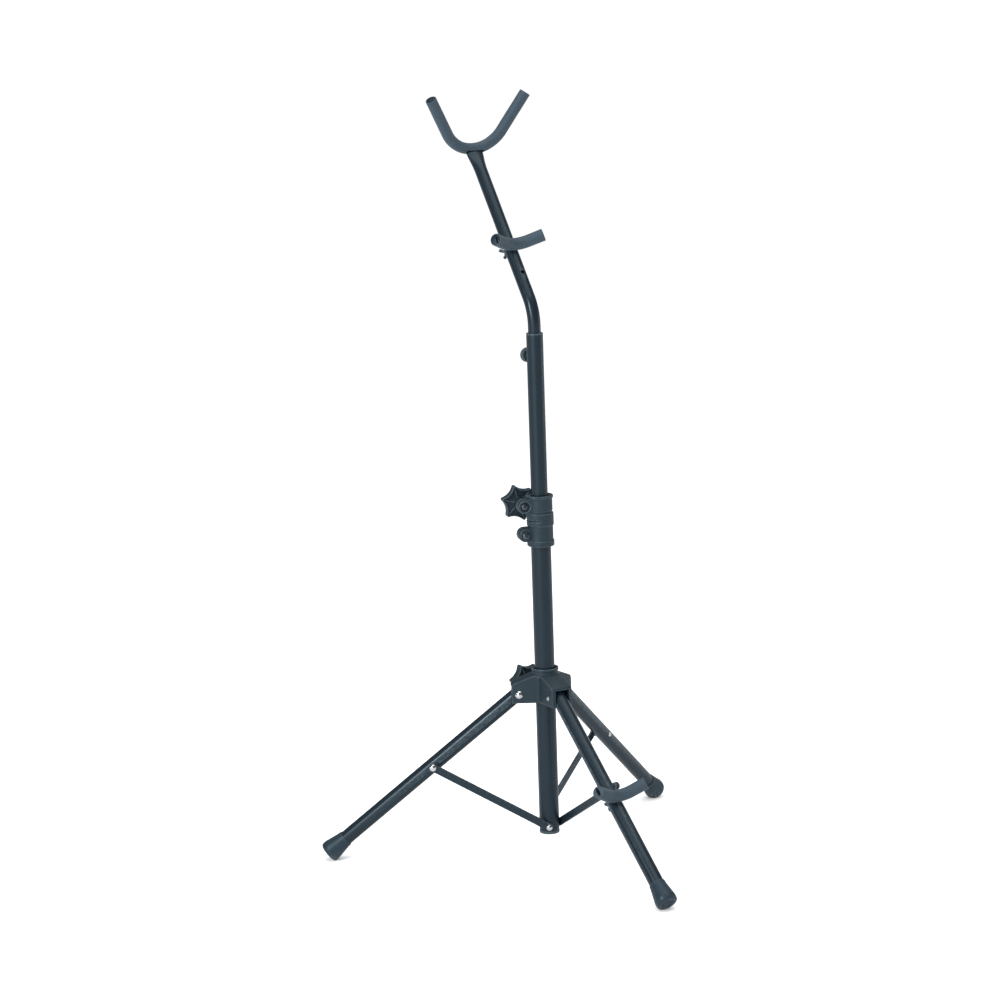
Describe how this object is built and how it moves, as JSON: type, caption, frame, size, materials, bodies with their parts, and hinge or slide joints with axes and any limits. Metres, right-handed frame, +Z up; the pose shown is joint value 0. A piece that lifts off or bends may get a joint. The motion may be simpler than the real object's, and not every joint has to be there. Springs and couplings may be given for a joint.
{
  "type": "saxophone stand",
  "caption": "Tall folding tripod stand for a saxophone: sliding hub with braced legs, telescopic column with clutch, bent upper tube, padded yoke and small padded cradles.",
  "frame": {"origin": "on the floor, at the centre of the bounding box seen from above; the column stands at X = 0, Y = 0.0816", "axes": "+Z up; -Y towards the front leg, which carries the lower cradle; +Y the way the upper tube leans; X = 0 is the plane of the front leg, the yoke and both cradles"},
  "size_m": [0.6048, 0.5282, 1.1421],
  "materials": {
    "powder_coat": "satin",
    "moulded_nylon": "fine grain",
    "foam": "matt foam",
    "rubber": "matt",
    "chrome": "polished",
    "zinc_steel": "black zinc plated"
  },
  "bodies": {
    "column": {"column_tube": "powder_coat", "column_bottom_plug": "moulded_nylon", "clutch_body": "moulded_nylon", "clutch_bush": "moulded_nylon", "clamp_bolt": "zinc_steel", "fixing_bolt": "zinc_steel", "fixing_nut": "zinc_steel"},
    "clutch_knob": {"clutch_knob": "moulded_nylon", "clutch_knob_insert": "zinc_steel"},
    "hub": {"hub": "moulded_nylon", "front_hub_rivet": "chrome", "right_hub_rivet": "chrome", "left_hub_rivet": "chrome"},
    "hub_knob": {"hub_knob": "moulded_nylon", "hub_knob_stud": "zinc_steel"},
    "front_leg": {"front_leg_tube": "powder_coat", "front_foot": "rubber", "front_strut_spacer": "moulded_nylon", "front_strut_rivet": "chrome"},
    "front_strut": {"front_strut": "powder_coat", "front_column_rivet": "chrome"},
    "right_leg": {"right_leg_tube": "powder_coat", "right_foot": "rubber", "right_strut_spacer": "moulded_nylon", "right_strut_rivet": "chrome"},
    "right_strut": {"right_strut": "powder_coat", "right_column_rivet": "chrome"},
    "left_leg": {"left_leg_tube": "powder_coat", "left_foot": "rubber", "left_strut_spacer": "moulded_nylon", "left_strut_rivet": "chrome"},
    "left_strut": {"left_strut": "powder_coat", "left_column_rivet": "chrome"},
    "mid_tube": {"mid_guide_bush": "moulded_nylon", "mid_tube": "powder_coat", "mid_top_bush": "moulded_nylon", "thumb_screw_boss": "powder_coat"},
    "thumb_screw": {"thumb_knob": "moulded_nylon", "thumb_stud": "zinc_steel"},
    "upper_guide": {"upper_guide_bush": "moulded_nylon"},
    "upper_tube": {"upper_tube": "powder_coat", "yoke_rod": "powder_coat", "yoke_foam": "foam"},
    "mid_cradle": {"mid_cradle_strip": "zinc_steel", "mid_cradle_foam": "foam", "mid_cradle_bolt": "zinc_steel", "mid_cradle_spacer": "moulded_nylon"},
    "mid_wing_nut": {"mid_wing_nut": "moulded_nylon"},
    "low_cradle": {"low_cradle_strip": "zinc_steel", "low_cradle_foam": "foam", "low_cradle_bolt": "zinc_steel", "low_cradle_spacer": "moulded_nylon"},
    "low_wing_nut": {"low_wing_nut": "moulded_nylon"}
  },
  "joints": [
    {"name": "hub_slide", "type": "slide", "parent": "column", "child": "hub", "axis": [0, 0, 1], "range_m": [0, 0.15947]},
    {"name": "hub_knob_turn", "type": "hinge", "parent": "hub", "child": "hub_knob", "pos_m": [0, 0.12014, 0.25879], "axis": [0, 1, 0], "range_deg": [0, 540]},
    {"name": "front_leg_fold", "type": "hinge", "parent": "hub", "child": "front_leg", "pos_m": [0, 0.04234, 0.25329], "axis": [1, 0, 0], "range_deg": [0, 50.74]},
    {"name": "front_strut_fold", "type": "hinge", "parent": "front_leg", "child": "front_strut", "pos_m": [0, -0.09084, 0.14444], "axis": [1, 0, 0], "range_deg": [-99.66, 0]},
    {"name": "right_leg_fold", "type": "hinge", "parent": "hub", "child": "right_leg", "pos_m": [0.03404, 0.10129, 0.25329], "axis": [-0.5, 0.866, 0], "range_deg": [0, 50.74]},
    {"name": "right_strut_fold", "type": "hinge", "parent": "right_leg", "child": "right_strut", "pos_m": [0.14937, 0.16788, 0.14444], "axis": [-0.5, 0.866, 0], "range_deg": [-99.66, 0]},
    {"name": "left_leg_fold", "type": "hinge", "parent": "hub", "child": "left_leg", "pos_m": [-0.03404, 0.10129, 0.25329], "axis": [-0.5, -0.866, 0], "range_deg": [0, 50.74]},
    {"name": "left_strut_fold", "type": "hinge", "parent": "left_leg", "child": "left_strut", "pos_m": [-0.14937, 0.16788, 0.14444], "axis": [-0.5, -0.866, 0], "range_deg": [-99.66, 0]},
    {"name": "clutch_knob_turn", "type": "hinge", "parent": "column", "child": "clutch_knob", "pos_m": [-0.02124, 0.0982, 0.54], "axis": [0.2588, 0.9659, 0], "range_deg": [0, 540]},
    {"name": "mid_tube_slide", "type": "slide", "parent": "column", "child": "mid_tube", "axis": [0, 0, 1], "range_m": [-0.185, 0.1]},
    {"name": "thumb_screw_turn", "type": "hinge", "parent": "mid_tube", "child": "thumb_screw", "pos_m": [0, 0.09964, 0.763], "axis": [0, 1, 0], "range_deg": [0, 540]},
    {"name": "upper_tube_slide", "type": "slide", "parent": "mid_tube", "child": "upper_guide", "axis": [0, 0, 1], "range_m": [-0.008, 0.06]},
    {"name": "upper_tube_swivel", "type": "hinge", "parent": "upper_guide", "child": "upper_tube", "pos_m": [0, 0.08164, 0.69], "axis": [0, 0, 1], "continuous": true},
    {"name": "mid_cradle_turn", "type": "hinge", "parent": "upper_tube", "child": "mid_cradle", "pos_m": [0, 0.1375, 0.92133], "axis": [0, -0.7986, 0.6018], "range_deg": [-90, 90]},
    {"name": "mid_wing_nut_turn", "type": "hinge", "parent": "mid_cradle", "child": "mid_wing_nut", "pos_m": [0, 0.15267, 0.9099], "axis": [0, 0.7986, -0.6018], "range_deg": [0, 540]},
    {"name": "low_cradle_turn", "type": "hinge", "parent": "front_leg", "child": "low_cradle", "pos_m": [0, -0.11948, 0.13524], "axis": [0, -0.6328, 0.7743], "range_deg": [-90, 90]},
    {"name": "low_wing_nut_turn", "type": "hinge", "parent": "low_cradle", "child": "low_wing_nut", "pos_m": [0, -0.10556, 0.1182], "axis": [0, 0.6328, -0.7743], "range_deg": [0, 540]}
  ],
  "couplings": [
    {"joint": "front_leg_fold", "follows": "hub_slide", "rad_per_m": 5.5527},
    {"joint": "front_strut_fold", "follows": "hub_slide", "rad_per_m": -10.906},
    {"joint": "right_leg_fold", "follows": "hub_slide", "rad_per_m": 5.5527},
    {"joint": "right_strut_fold", "follows": "hub_slide", "rad_per_m": -10.906},
    {"joint": "left_leg_fold", "follows": "hub_slide", "rad_per_m": 5.5527},
    {"joint": "left_strut_fold", "follows": "hub_slide", "rad_per_m": -10.906}
  ]
}
